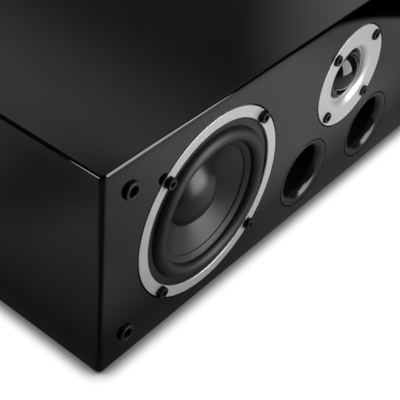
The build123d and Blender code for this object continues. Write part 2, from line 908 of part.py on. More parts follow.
def add_crossover():
    outline = extrude(RectangleRounded(board_width, board_length, board_corner), board_thickness)
    grid = GridLocations(board_width - 2 * standoff_inset, board_length - 2 * standoff_inset, 2, 2)
    nodes["crossover_board"] = Pos(0, board_y, board_low) * outline
    pillar = rod(standoff_radius, 0, standoff_height)
    nodes["crossover_standoffs"] = Compound(
        [Pos(0, board_y, panel_thickness) * (place * pillar) for place in grid]
    )
    deck = board_top + part_lift
    choke_x = woofer_choke_radius + standoff_inset - board_width / 2
    column_x = board_width / 2 - standoff_inset - column_width / 2
    capacitor_y = board_y - column_depth / 2 + capacitor_radius
    resistor_y = capacitor_y + capacitor_radius + part_spacing + resistor_width / 2
    small_choke_y = resistor_y + resistor_width / 2 + part_spacing + tweeter_choke_radius
    capacitor = fillet(Cylinder(capacitor_radius, capacitor_length).edges(), capacitor_round)
    resistor = Box(resistor_length, resistor_width, resistor_height)
    nodes["woofer_choke"] = Pos(choke_x, board_y, deck) * choke(woofer_choke_radius, woofer_choke_height)
    small_choke = choke(tweeter_choke_radius, tweeter_choke_height)
    nodes["tweeter_choke"] = Pos(column_x, small_choke_y, deck) * small_choke
    lying = Rot(0, 90, 0) * capacitor
    nodes["film_capacitor"] = Pos(column_x, capacitor_y, deck + capacitor_radius) * lying
    nodes["series_resistor"] = Pos(column_x, resistor_y, deck + resistor_height / 2) * resistor


def main():
    add_cabinet()
    add_braces()
    add_damping()
    for side in sides:
        add_woofer(side)
    add_tweeter()
    add_driver_screws()
    add_ports()
    add_grille_sockets()
    add_terminals()
    add_crossover()
    os.makedirs("parts", exist_ok=True)
    for name, shape in nodes.items():
        export_step(shape, f"parts/{name}.step")


main()
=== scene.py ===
import json
import math

import bmesh
import bpy
import numpy as np
from mathutils import Matrix, Vector


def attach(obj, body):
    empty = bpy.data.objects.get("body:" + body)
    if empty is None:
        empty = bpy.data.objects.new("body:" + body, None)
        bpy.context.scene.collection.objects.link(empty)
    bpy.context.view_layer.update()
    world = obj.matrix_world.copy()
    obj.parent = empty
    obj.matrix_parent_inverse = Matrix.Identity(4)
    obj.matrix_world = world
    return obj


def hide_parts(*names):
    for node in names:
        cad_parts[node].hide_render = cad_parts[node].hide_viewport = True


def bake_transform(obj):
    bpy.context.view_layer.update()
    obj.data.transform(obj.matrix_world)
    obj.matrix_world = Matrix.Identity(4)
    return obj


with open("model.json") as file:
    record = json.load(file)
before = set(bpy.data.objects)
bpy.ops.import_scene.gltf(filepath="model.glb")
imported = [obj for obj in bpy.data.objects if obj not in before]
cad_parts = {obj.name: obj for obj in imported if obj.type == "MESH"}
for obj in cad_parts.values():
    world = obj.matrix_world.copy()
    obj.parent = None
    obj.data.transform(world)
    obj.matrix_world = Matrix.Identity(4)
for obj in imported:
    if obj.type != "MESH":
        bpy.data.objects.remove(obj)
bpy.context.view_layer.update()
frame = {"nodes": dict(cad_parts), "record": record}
mm = 0.001  # pieces are written in millimetres
frontY, rearY, middleZ = -130.0, 130.0, 85.0
facing = {"front": math.radians(90), "rear": math.radians(-90)}
woofers = {"left": -164.0, "right": 164.0}
bpy.context.scene.view_settings.view_transform = "Standard"


# ways to write node trees

class Value:
    # one socket of a node tree, and sums on it become Math nodes

    def __init__(self, maker, socket):
        self.maker, self.socket = maker, socket

    def maths(self, operation, *values):
        return self.maker.node("ShaderNodeMath", {"operation": operation}, dict(enumerate(values)))

    def __add__(self, other):
        return self.maths("ADD", self, other)

    def __radd__(self, other):
        return self.maths("ADD", other, self)

    def __sub__(self, other):
        return self.maths("SUBTRACT", self, other)

    def __rsub__(self, other):
        return self.maths("SUBTRACT", other, self)

    def __mul__(self, other):
        return self.maths("MULTIPLY", self, other)

    def __rmul__(self, other):
        return self.maths("MULTIPLY", other, self)

    def __truediv__(self, other):
        return self.maths("DIVIDE", self, other)

    def __rtruediv__(self, other):
        return self.maths("DIVIDE", other, self)

    def __pow__(self, other):
        return self.maths("POWER", self, other)

    def __mod__(self, other):
        return self.maths("FLOORED_MODULO", self, other)

    def atLeast(self, low):
        return self.maths("MAXIMUM", self, low)

    def atMost(self, high):
        return self.maths("MINIMUM", self, high)

    def smooth(self, low, high, start=0.0, end=1.0):
        sockets = {"Value": self, "From Min": low, "From Max": high, "To Min": start, "To Max": end}
        return self.maker.node("ShaderNodeMapRange", {"interpolation_type": "SMOOTHSTEP"}, sockets, "Result")


def findSocket(sockets, key):
    if isinstance(key, int):
        return sockets[key]
    return next(socket for socket in sockets if socket.name == key and socket.enabled)


class Maker:
    # adds nodes to one tree

    def __init__(self, tree):
        self.tree = tree

    def node(self, kind, settings=None, sockets=None, output=0):
        made = self.tree.nodes.new(kind)
        for key, value in (settings or {}).items():
            if key == "stops":
                ramp = made.color_ramp.elements
                while len(ramp) < len(value):
                    ramp.new(1.0)
                for stop, (place, level) in zip(ramp, value):
                    stop.position, stop.color = place, (level, level, level, 1)
            else:
                setattr(made, key, value)
        for key, value in (sockets or {}).items():
            target = findSocket(made.inputs, key)
            if isinstance(value, Value):
                self.tree.links.new(value.socket, target)
            else:
                target.default_value = value
        return Value(self, findSocket(made.outputs, output))


class Finish(Maker):
    # a material under construction

    def __init__(self, name):
        self.material = bpy.data.materials.new(name)
        self.material.use_nodes = True
        super().__init__(self.material.node_tree)
        self.tree.nodes.clear()
        self.place = self.node("ShaderNodeTexCoord", output="Object")

    def noise(self, size, detail=2.0, roughness=0.5, stretch=None, at=None):
        # size is the width of one blotch in millimetres
        at = at or self.place
        if stretch:
            at = self.node("ShaderNodeVectorMath", {"operation": "MULTIPLY"}, {0: at, 1: stretch})
        sockets = {"Vector": at, "Scale": 1 / (size * mm), "Detail": detail, "Roughness": roughness}
        return self.node("ShaderNodeTexNoise", {}, sockets, 0)

    def mix(self, factor, first, second):
        colours = {"Factor": factor, "A": (*first, 1) if isinstance(first, tuple) else first,
                   "B": (*second, 1) if isinstance(second, tuple) else second}
        return self.node("ShaderNodeMix", {"data_type": "RGBA"}, colours, "Result")

    def bump(self, height, depth, strength=1.0):
        # depth of the relief in millimetres
        sockets = {"Strength": strength, "Distance": depth * mm, "Height": height}
        return self.node("ShaderNodeBump", {}, sockets, "Normal")

    def radius(self):
        # distance from the turned piece's own axis, in metres
        local = self.node("ShaderNodeAttribute", {"attribute_name": "localAt"}, {}, "Vector")
        flat = self.node("ShaderNodeVectorMath", {"operation": "MULTIPLY"}, {0: local, 1: (1, 1, 0)})
        return self.node("ShaderNodeVectorMath", {"operation": "LENGTH"}, {0: flat}, "Value")

    def close(self, shader):
        out = self.tree.nodes.new("ShaderNodeOutputMaterial")
        self.tree.links.new(shader.socket, out.inputs["Surface"])
        return self.material

    def surface(self, **sockets):
        named = {key.replace("_", " "): value for key, value in sockets.items()}
        return self.close(self.node("ShaderNodeBsdfPrincipled", {}, named))


# finishes, one for each slot of the record

def glossLacquer():
    look = Finish("glossLacquer")
    cloud = look.noise(110, 2)
    peel = look.noise(3.2, 1)  # faint orange peel
    return look.surface(
        Base_Color=look.mix(cloud, (0.0009, 0.0009, 0.0010), (0.0016, 0.0016, 0.0018)),
        Roughness=0.03 + 0.02 * cloud,
        Normal=look.bump(peel, 0.0015),
    )


def satinAluminium():
    look = Finish("satinAluminium")
    grain = look.noise(0.16, 3)
    cloud = look.noise(14, 2)
    lines = look.node("ShaderNodeTexNoise", {"noise_dimensions": "1D"},
                      {"W": look.radius(), "Scale": 5200.0, "Detail": 2.0}, 0)  # lathe marks
    return look.surface(
        Base_Color=look.mix(cloud, (0.54, 0.54, 0.545), (0.60, 0.60, 0.605)),
        Metallic=0.55,
        Roughness=0.32 + 0.05 * cloud + 0.06 * grain,
        Normal=look.bump(grain * 0.6 + lines * 0.4, 0.0035),
    )


def conePlastic():
    look = Finish("conePlastic")
    fibre = look.noise(0.5, 4, 0.6)
    cloud = look.noise(9, 2)
    rings = look.node("ShaderNodeTexNoise", {"noise_dimensions": "1D"},
                      {"W": look.radius(), "Scale": 1500.0, "Detail": 3.0}, 0)
    return look.surface(
        Base_Color=look.mix(cloud, (0.003, 0.003, 0.0032), (0.005, 0.005, 0.0053)),
        Roughness=0.30 + 0.05 * fibre,
        Normal=look.bump(fibre * 0.7 + rings * 0.3, 0.012),
    )


def windingCopper():
    look = Finish("windingCopper")
    local = look.node("ShaderNodeSeparateXYZ", {}, {0: look.place}, "Y")
    turns = local * 9000.0
    wave = turns.maths("SINE", turns)
    cloud = look.noise(6, 2)
    return look.surface(
        Base_Color=look.mix(cloud, (0.50, 0.19, 0.09), (0.66, 0.28, 0.13)),
        Metallic=1.0,
        Roughness=0.28 + 0.08 * cloud,
        Normal=look.bump(wave, 0.06),
    )


def wovenSpider():
    look = Finish("wovenSpider")
    weave = [look.node("ShaderNodeTexWave", {"bands_direction": way}, {"Vector": look.place, "Scale": 620.0}, 1)
             for way in ("X", "Z")]
    cloth = weave[0] * 0.5 + weave[1] * 0.5
    return look.surface(
        Base_Color=look.mix(cloth, (0.40, 0.20, 0.05), (0.66, 0.39, 0.13)),
        Roughness=0.7 + 0.15 * cloth,
        Normal=look.bump(cloth, 0.12),
    )


def rawBoard():
    look = Finish("rawBoard")
    fibres = look.noise(1.1, 4, 0.65, stretch=(0.35, 1.0, 1.0))
    cloud = look.noise(30, 3)
    return look.surface(
        Base_Color=look.mix(fibres * 0.7 + cloud * 0.3, (0.20, 0.13, 0.075), (0.42, 0.29, 0.18)),
        Roughness=0.75 + 0.15 * fibres,
        Normal=look.bump(fibres, 0.08),
    )


def waddingFleece():
    look = Finish("waddingFleece")
    fluff = look.noise(2.2, 6, 0.7)
    strands = look.noise(0.7, 4, 0.6, stretch=(1.0, 1.0, 0.25))
    return look.surface(
        Base_Color=look.mix(fluff, (0.42, 0.43, 0.44), (0.78, 0.79, 0.80)),
        Roughness=0.9 + 0.1 * strands,
        Normal=look.bump(fluff * 0.6 + strands * 0.4, 1.2),
    )


def capacitorFilm():
    look = Finish("capacitorFilm")
    wrap = look.noise(5, 3, 0.55, stretch=(0.2, 1.0, 1.0))
    return look.surface(
        Base_Color=look.mix(wrap, (0.42, 0.30, 0.05), (0.60, 0.45, 0.10)),
        Roughness=0.22 + 0.12 * wrap,
        Normal=look.bump(wrap, 0.05),
    )


# plainer finishes differ only in numbers: two tones, roughness, grain width and depth, metal
grainedLooks = {
    "black_rubber": ((0.003, 0.003, 0.0031), (0.005, 0.005, 0.0052), (0.42, 0.52), 0.30, 0.010, 0.0),
    "dome_film": ((0.002, 0.002, 0.0021), (0.004, 0.004, 0.0042), (0.06, 0.10), 0.22, 0.0004, 0.0),
    "black_plastic": ((0.004, 0.004, 0.0042), (0.007, 0.007, 0.0074), (0.16, 0.22), 0.35, 0.004, 0.0),
    "red_plastic": ((0.36, 0.010, 0.012), (0.48, 0.018, 0.018), (0.24, 0.34), 0.40, 0.008, 0.0),
    "black_steel": ((0.006, 0.006, 0.0065), (0.012, 0.012, 0.013), (0.28, 0.38), 0.18, 0.006, 0.4),
    "plated_steel": ((0.46, 0.47, 0.48), (0.60, 0.60, 0.60), (0.24, 0.40), 0.8, 0.004, 1.0),
    "plated_brass": ((0.72, 0.50, 0.20), (0.86, 0.62, 0.27), (0.16, 0.26), 0.5, 0.003, 1.0),
    "ferrite": ((0.030, 0.030, 0.032), (0.055, 0.054, 0.054), (0.48, 0.68), 0.6, 0.030, 0.0),
    "phenolic_board": ((0.22, 0.12, 0.05), (0.34, 0.20, 0.09), (0.42, 0.58), 0.9, 0.020, 0.0),
    "sealed_edge": ((0.002, 0.002, 0.002), (0.004, 0.004, 0.004), (0.70, 0.85), 0.5, 0.03, 0.0),  # bare cuts
    "white_nylon": ((0.70, 0.69, 0.65), (0.80, 0.79, 0.76), (0.34, 0.46), 0.7, 0.010, 0.0),
}


def grained(slot):
    dark, pale, rough, width, depth, metal = grainedLooks[slot]
    words = slot.split("_")
    look = Finish(words[0] + words[-1].title() if len(words) > 1 else slot)
    cloud = look.noise(12, 3)
    grain = look.noise(width, 3, 0.6)
    return look.surface(
        Base_Color=look.mix(cloud, dark, pale),
        Metallic=metal,
        Roughness=rough[0] + (rough[1] - rough[0]) * (0.5 * cloud + 0.5 * grain),
        Normal=look.bump(grain, depth),
    )


finishes = {slot: grained(slot) for slot in grainedLooks}
sealedEdge = finishes.pop("sealed_edge")
finishes.update({
    "gloss_lacquer": glossLacquer(),
    "satin_aluminium": satinAluminium(),
    "cone_plastic": conePlastic(),
    "copper": windingCopper(),
    "woven_spider": wovenSpider(),
    "raw_board": rawBoard(),
    "wadding": waddingFleece(),
    "capacitor_film": capacitorFilm(),
})
for row in frame["record"]["subparts"]:
    cadMesh = frame["nodes"][row["node"]].data
    cadMesh.materials.clear()
    cadMesh.materials.append(finishes[row["material_slot"]])
print("finishes:", len(finishes))


# turned pieces: one tree spins an outline about its axis, cuts flutes and hexagons, and sets copies in place

def buildTurnedTree():
    tree = bpy.data.node_groups.new("turnedPieces", "GeometryNodeTree")
    face = tree.interface
    face.new_socket("Places", in_out="INPUT", socket_type="NodeSocketGeometry")
    for label, kind, rest in (
        ("Outline", "Object", None), ("Segments", "Int", 96), ("Flutes", "Int", 1),
        ("Flute Radius", "Float", 0.0),
        ("Tilt", "Float", 0.0), ("Spin", "Float", 0.0), ("Seed", "Int", 7), ("Finish", "Material", None),
    ):
        socket = face.new_socket(label, in_out="INPUT", socket_type="NodeSocket" + kind)
        if rest is not None:
            socket.default_value = rest
    face.new_socket("Pieces", in_out="OUTPUT", socket_type="NodeSocketGeometry")
    make = Maker(tree)
    start = tree.nodes.new("NodeGroupInput")
    give = {socket.name: Value(make, socket) for socket in start.outputs if socket.name}

    outline = make.node("GeometryNodeObjectInfo", {"transform_space": "ORIGINAL"},
                        {"Object": give["Outline"]}, "Geometry")
    count = make.node("GeometryNodeAttributeDomainSize", {"component": "MESH"}, {"Geometry": outline},
                      "Point Count")
    sheet = make.node("GeometryNodeMeshGrid", {},
                      {"Vertices X": give["Segments"] + 1, "Vertices Y": count}, "Mesh")
    index = make.node("GeometryNodeInputIndex", output="Index")
    ratio = index / count
    column = ratio.maths("FLOOR", ratio)
    row = index - column * count
    angle = column / give["Segments"] * math.tau

    def sampled(kind, field):
        settings = {"data_type": kind, "domain": "POINT"}
        sockets = {"Geometry": outline, "Value": field, "Index": row}
        return make.node("GeometryNodeSampleIndex", settings, sockets, "Value")

    def named(label):
        field = make.node("GeometryNodeInputNamedAttribute", {"data_type": "FLOAT"}, {"Name": label},
                          "Attribute")
        return sampled("FLOAT", field)

    spot = sampled("FLOAT_VECTOR", make.node("GeometryNodeInputPosition", output="Position"))
    radius = make.node("ShaderNodeSeparateXYZ", {}, {0: spot}, "X")
    height = make.node("ShaderNodeSeparateXYZ", {}, {0: spot}, "Z")
    pitch = math.tau / give["Flutes"]
    across = ((angle / pitch + 0.5) % 1.0 - 0.5) * pitch * radius
    bite = (give["Flute Radius"] ** 2 - across * across).atLeast(0.0) ** 0.5
    sixth = angle % (math.pi / 3) - math.pi / 6
    flats = math.cos(math.pi / 6) / sixth.maths("COSINE", sixth)
    cut = radius * (1 + named("hexagon") * (flats - 1)) - bite * named("flute")
    local = make.node("ShaderNodeCombineXYZ", {}, {
        0: cut * angle.maths("COSINE", angle), 1: cut * angle.maths("SINE", angle), 2: height})

    spun = make.node("GeometryNodeSetPosition", {}, {"Geometry": sheet, "Position": local}, "Geometry")
    here = make.node("GeometryNodeInputPosition", output="Position")
    spun = make.node("GeometryNodeStoreNamedAttribute", {"data_type": "FLOAT_VECTOR", "domain": "POINT"},
                     {"Geometry": spun, "Name": "localAt", "Value": here}, "Geometry")
    spun = make.node("GeometryNodeMergeByDistance", {}, {"Geometry": spun, "Distance": 1e-6}, "Geometry")
    tilt = make.node("FunctionNodeEulerToRotation", {}, {
        0: make.node("ShaderNodeCombineXYZ", {}, {0: give["Tilt"]})})
    chance = make.node("FunctionNodeRandomValue", {"data_type": "FLOAT"},
                       {"Min": 0.0, "Max": give["Spin"], "Seed": give["Seed"]}, "Value")
    angles = make.node("ShaderNodeCombineXYZ", {}, {2: chance})
    twist = make.node("FunctionNodeEulerToRotation", {}, {0: angles})
    pose = make.node("FunctionNodeRotateRotation", {"rotation_space": "LOCAL"}, {0: tilt, 1: twist})
    copies = make.node("GeometryNodeInstanceOnPoints", {},
                       {"Points": give["Places"], "Instance": spun, "Rotation": pose}, "Instances")
    whole = make.node("GeometryNodeRealizeInstances", {}, {"Geometry": copies}, "Geometry")
    whole = make.node("GeometryNodeSetMaterial", {}, {"Geometry": whole, "Material": give["Finish"]},
                      "Geometry")
    end = tree.nodes.new("NodeGroupOutput")
    tree.links.new(whole.socket, end.inputs[0])
    return tree


turnedTree = buildTurnedTree()
turnedInputs = {item.name: item.identifier for item in turnedTree.interface.items_tree
                if item.in_out == "INPUT"}


def addObject(name, mesh):
    piece = bpy.data.objects.new(name, mesh)
    bpy.context.scene.collection.objects.link(piece)
    return piece


def settled(piece):
    # bakes the modifiers into a plain mesh
    depsgraph = bpy.context.evaluated_depsgraph_get()
    mesh = bpy.data.meshes.new_from_object(piece.evaluated_get(depsgraph), preserve_all_data_layers=True,
                                           depsgraph=depsgraph)
    piece.modifiers.clear()
    old, piece.data = piece.data, mesh
    bpy.data.meshes.remove(old)
    mesh.name = piece.name
    return piece


def smoothed(piece, angle=32.0, flatFaces=True):
    # outward faces, smooth curves, crisp corners and true flats
    shape = bmesh.new()
    shape.from_mesh(piece.data)
    bmesh.ops.recalc_face_normals(shape, faces=shape.faces)
    shape.to_mesh(piece.data)
    shape.free()
    piece.data.shade_smooth()
    piece.data.set_sharp_from_angle(angle=math.radians(angle))
    if flatFaces:
        weights = piece.modifiers.new("flats", "WEIGHTED_NORMAL")
        weights.keep_sharp = True
        settled(piece)
    return piece


def turnedPiece(name, outline, places, finish, side="front", segments=128, flutes=1, fluteRadius=0.0, spin=0.0,
                flatFaces=True):
    # outline points are (radius, height, flute, hexagon), places are (x, y, z)
    mesh = bpy.data.meshes.new(name + "Outline")
    mesh.from_pydata([(point[0] * mm, 0, point[1] * mm) for point in outline], [], [])
    for column, label in ((2, "flute"), (3, "hexagon")):
        weights = [float(point[column]) if len(point) > column else 0.0 for point in outline]
        mesh.attributes.new(label, "FLOAT", "POINT").data.foreach_set("value", weights)
    outlineObject = addObject(name + "Outline", mesh)
    spots = bpy.data.meshes.new(name)
    spots.from_pydata([tuple(c * mm for c in place) for place in places], [], [])
    piece = addObject(name, spots)
    modifier = piece.modifiers.new("turned", "NODES")
    modifier.node_group = turnedTree
    for label, value in (("Outline", outlineObject), ("Segments", segments), ("Flutes", flutes),
                         ("Flute Radius", fluteRadius * mm), ("Tilt", facing[side]), ("Spin", spin),
                         ("Finish", finish)):
        modifier[turnedInputs[label]] = value
    settled(piece)
    bpy.data.objects.remove(outlineObject)
    bpy.data.meshes.remove(mesh)
    return smoothed(piece, flatFaces=flatFaces)


def rounded(corners, steps=6):
    # a closed outline from corners (radius, height, rounding)
    points = []
    for i, corner in enumerate(corners):
        here = Vector(corner[:2])
        bend = corner[2] if len(corner) > 2 else 0.0
        if not bend:
            points.append(tuple(here))
            continue
        before = (Vector(corners[i - 1][:2]) - here).normalized()
        after = (Vector(corners[(i + 1) % len(corners)][:2]) - here).normalized()
        half = before.angle(after) / 2
        middle = here + (before + after).normalized() * (bend / math.sin(half))
        first = here + before * (bend / math.tan(half)) - middle
        last = here + after * (bend / math.tan(half)) - middle
        sweep = first.angle_signed(last)
        for step in range(steps + 1):
            turn = Matrix.Rotation(-sweep * step / steps, 2)
            points.append(tuple(middle + turn @ first))
    return points + points[:1]


def arc(start, crest, end, steps):
    # points on the circle through three points
    (ax, ay), (bx, by), (cx, cy) = start, crest, end
    d = 2 * (ax * (by - cy) + bx * (cy - ay) + cx * (ay - by))
    a2, b2, c2 = ax * ax + ay * ay, bx * bx + by * by, cx * cx + cy * cy
    ux = (a2 * (by - cy) + b2 * (cy - ay) + c2 * (ay - by)) / d
    uy = (a2 * (cx - bx) + b2 * (ax - cx) + c2 * (bx - ax)) / d
    size = math.hypot(ax - ux, ay - uy)
    angles = [math.atan2(y - uy, x - ux) for x, y in (start, crest, end)]
    for i in (1, 2):  # unwrap, so that the sweep passes through the crest
        while angles[i] - angles[i - 1] > math.pi:
            angles[i] -= math.tau
        while angles[i] - angles[i - 1] < -math.pi:
            angles[i] += math.tau
    sweep = angles[2] - angles[0]
    return [(ux + size * math.cos(angles[0] + sweep * i / steps),
             uy + size * math.sin(angles[0] + sweep * i / steps))
            for i in range(steps + 1)]


def crown(radius, base, height, steps):
    # rim to crown of a spherical cap
    ball = (radius**2 + height**2) / (2 * height)
    reach = math.asin(radius / ball)
    return [(ball * math.sin(reach * (1 - i / steps)),
             base + height - ball + ball * math.cos(reach * (1 - i / steps)))
            for i in range(steps + 1)]


def fitted(piece, body, slot, *nodes):
    if nodes:
        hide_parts(*nodes)
    if body:
        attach(piece, body)
    return piece


# cabinet: one lacquered shell with its rebates, openings and hollow

shell = {"width": 542.0, "depth": 260.0, "height": 170.0, "edge": 2.0, "uprightEdge": 4.0, "edgeSteps": 10,
         "side": 15.0, "baffle": 22.0, "rear": 16.0, "overshoot": 4.0}
wooferHole = {"rebate": 73.3, "rebateDepth": 5.7, "opening": 64.4, "mouth": 0.15}
tweeterHole = {"rebate": 42.1, "rebateDepth": 5.2, "opening": 31.3, "mouth": 0.15}
portHole = {"rebate": 29.3, "rebateDepth": 3.0, "opening": 23.6, "mouth": 0.15}
socketHole = {"rebate": 5.55, "rebateDepth": 1.0, "opening": 5.55, "mouth": 0.15}
tweeterPlace = (0.0, 109.4)
portPlaces = [(-44.0, 41.0), (44.0, 41.0)]
socketPlaces = [(x, z) for x in (-246.2, 246.2) for z in (23.0, 147.0)]


def onFront(spots, lift=0.0):
    return [(x, frontY - lift, z) for x, z in spots]


def boxMesh(name, low, high):
    shape = bmesh.new()
    bmesh.ops.create_cube(shape, size=1.0)
    for vert in shape.verts:
        vert.co = [(low[i] if vert.co[i] < 0 else high[i]) * mm for i in range(3)]
    mesh = bpy.data.meshes.new(name)
    shape.to_mesh(mesh)
    shape.free()
    return mesh


def roundedLoop(halfWidth, halfHeight, corner, steps=8):
    points = []
    for quarter, (sx, sz) in enumerate(((1, 1), (-1, 1), (-1, -1), (1, -1))):
        for step in range(steps + 1):
            turn = math.radians(90 * (quarter + step / steps))
            points.append((sx * (halfWidth - corner) + corner * math.cos(turn),
                           sz * (halfHeight - corner) + corner * math.sin(turn)))
    return points


def stackedLoops(name, levels, finish):
    # a closed skin over rounded rectangles (half width, half height, corner, height) on the rear panel
    shape = bmesh.new()
    rings = [[shape.verts.new((x * mm, (rearY + level[3]) * mm, (middleZ + z) * mm))
              for x, z in roundedLoop(*level[:3])] for level in levels]
    for lower, upper in zip(rings, rings[1:]):
        for i in range(len(lower)):
            j = (i + 1) % len(lower)
            shape.faces.new((lower[i], lower[j], upper[j], upper[i]))
    shape.faces.new(rings[0])
    shape.faces.new(rings[-1])
    mesh = bpy.data.meshes.new(name)
    shape.to_mesh(mesh)
    shape.free()
    mesh.materials.append(finish)
    return addObject(name, mesh)


def holeOutline(hole):
    # each mouth's edge is eased a little
    out, back = shell["overshoot"], -shell["baffle"] - shell["overshoot"]
    rim, bend = hole["rebate"], hole["mouth"]
    turns = [math.radians(15 * i) for i in range(7)]
    mouth = [(rim + bend * (1 - math.cos(turn)), bend * (math.sin(turn) - 1)) for turn in turns]
    return ([(0, back), (hole["opening"], back), (hole["opening"], -hole["rebateDepth"]),
             (rim, -hole["rebateDepth"])]
            + mouth + [(rim + bend, out), (0, out)])


def makeShell():
    half, lacquer = shell["width"] / 2, finishes["gloss_lacquer"]
    body = addObject("cabinet_shell", boxMesh("cabinet_shell", (-half, frontY, 0),
                                              (half, rearY, shell["height"])))
    shape = bmesh.new()
    shape.from_mesh(body.data)
    upright = [edge for edge in shape.edges if abs(edge.verts[0].co.z - edge.verts[1].co.z) > mm]
    bmesh.ops.bevel(shape, geom=upright, offset=shell["uprightEdge"] * mm, offset_type="OFFSET",
                    segments=shell["edgeSteps"], profile=0.5, affect="EDGES", clamp_overlap=True)
    level = [edge for edge in shape.edges if abs(edge.verts[0].co.z - edge.verts[1].co.z) < mm]
    bmesh.ops.bevel(shape, geom=level, offset=shell["edge"] * mm, offset_type="OFFSET",
                    segments=shell["edgeSteps"], profile=0.5, affect="EDGES", clamp_overlap=True)
    shape.to_mesh(body.data)
    shape.free()
    body.data.materials.append(lacquer)
    hollow = addObject("hollow", boxMesh(
        "hollow", (-half + shell["side"], frontY + shell["baffle"], shell["side"]),
        (half - shell["side"], rearY - shell["rear"], shell["height"] - shell["side"])))
    hollow.data.materials.append(finishes["raw_board"])
    cutters = [hollow]
    for name, hole, spots in (("wooferCut", wooferHole, [(x, middleZ) for x in woofers.values()]),
                              ("tweeterCut", tweeterHole, [tweeterPlace]), ("portCut", portHole, portPlaces),
                              ("socketCut", socketHole, socketPlaces)):
        cutters.append(turnedPiece(name, holeOutline(hole), onFront(spots), sealedEdge, segments=160,
                                   flatFaces=False))
    cutters.append(stackedLoops("cupCut", [(45.3, 35.3, 10.8, -30), (45.3, 35.3, 10.8, 5)], sealedEdge))
    smoothed(cutters[-1], flatFaces=False)
    for cutter in cutters:
        cut = body.modifiers.new(cutter.name, "BOOLEAN")
        cut.operation, cut.solver, cut.object = "DIFFERENCE", "EXACT", cutter
        cut.material_mode = "TRANSFER"
    settled(body)
    for cutter in cutters:
        bpy.data.objects.remove(cutter)
    smoothed(body, angle=28)
    return fitted(body, "cabinet", "gloss_lacquer", "front_baffle", "rear_panel", "top_panel", "bottom_panel",
                  "left_side_panel", "right_side_panel")


makeShell()
print("cabinet shell done")


# woofers, heights counted outwards from the baffle's face

ringShape = {"outer": 72.2, "opening": 63.6, "proud": 0.3, "back": -2.2, "outerEdge": 0.4, "bevel": 0.3,
             "ease": 0.12}
coneShape = {"edge": 46.0, "edgeHeight": -2.5, "slope": 0.49, "neck": 12.95, "thickness": 1.1}
capShape = {"radius": 24.5, "height": 10.0, "thickness": 0.8, "bead": 0.7}
surroundShape = {"outer": 63.2, "ledge": -2.2, "wall": 0.9, "rollOuter": 57.4, "rollInner": 46.4, "rise": 5.2,
                 "lip": 41.8, "glue": 0.05, "bead": 0.6, "beadTop": -0.4}
spiderShape = {"neck": 12.95, "neckEnd": 35.1, "outer": 43.9, "height": -28.09, "wave": 1.2, "waves": 4,
               "wall": 0.8}


def coneFace(radius):
    return coneShape["edgeHeight"] - coneShape["slope"] * (coneShape["edge"] - radius)


def ringOutline():
    r = ringShape
    return rounded([
        (r["opening"], r["back"]), (r["outer"], r["back"]), (r["outer"], r["proud"], r["outerEdge"]),
        (r["opening"] + r["bevel"], r["proud"], r["ease"]), (r["opening"], r["proud"] - r["bevel"], r["ease"]),
    ])


def coneOutline():
    c = coneShape
    return rounded([
        (c["edge"], c["edgeHeight"], 0.3), (c["neck"], coneFace(c["neck"])),
        (c["neck"], coneFace(c["neck"]) - c["thickness"]), (c["edge"], c["edgeHeight"] - c["thickness"], 0.3),
    ])


def capOutline():
    c = capShape
    base = coneFace(c["radius"]) + 0.05
    outside = crown(c["radius"], base, c["height"], 28)
    inside = crown(c["radius"] - c["thickness"], base, c["height"] - c["thickness"], 20)
    return outside + inside[::-1] + outside[:1]


def surroundOutline():
    s = surroundShape
    middle = (s["rollOuter"] + s["rollInner"]) / 2
    low, wall = s["ledge"], s["wall"]
    root = coneFace(coneShape["edge"]) + s["glue"]
    lipFace = coneFace(s["lip"]) + s["glue"]
    over = arc((s["rollOuter"], low + wall), (middle, low + wall + s["rise"]), (s["rollInner"], root + wall),
               26)
    under = arc((s["rollInner"] + wall, root), (middle, low + s["rise"]), (s["rollOuter"] - wall, low), 20)
    inside, top = s["outer"] - s["bead"], s["beadTop"]
    bead = [(s["outer"], top - 0.15), (s["outer"] - 0.15, top), (inside + 0.15, top), (inside, top - 0.15)]
    return ([(s["outer"], low)] + bead + [(inside, low + wall)] + over
            + [(s["lip"] + 0.3, lipFace + wall + 0.13), (s["lip"], lipFace + wall * 0.7), (s["lip"], lipFace)]
            + [(coneShape["edge"], root)] + under + [(s["outer"], low)])


def spiderOutline():
    s = spiderShape
    steps = 24 * s["waves"]
    under = []
    for i in range(steps + 1):
        swing = math.sin(math.tau * s["waves"] * i / steps)
        under.append((s["neck"] + (s["neckEnd"] - s["neck"]) * i / steps, s["height"] + s["wave"] * swing))
    under.append((s["outer"], s["height"]))
    over = [(radius, height + s["wall"]) for radius, height in under]
    return under + over[::-1] + under[:1]


def flexing(piece, side, inner, outer):
    # bakes the placement in and works out each point's smooth share from the outer radius to the inner one; the
    # share is not kept
    moving, axis = f"woofer_{side}_moving", woofers[side]
    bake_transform(piece)
    places = np.empty(len(piece.data.vertices) * 3, np.float32)
    piece.data.vertices.foreach_get("co", places)
    places = places.reshape(-1, 3) / mm
    reach = np.hypot(places[:, 0] - axis, places[:, 2] - middleZ)
    share = np.clip((outer - reach) / (outer - inner), 0, 1)
    share = (share * share * (3 - 2 * share)).astype(np.float32)
    return piece


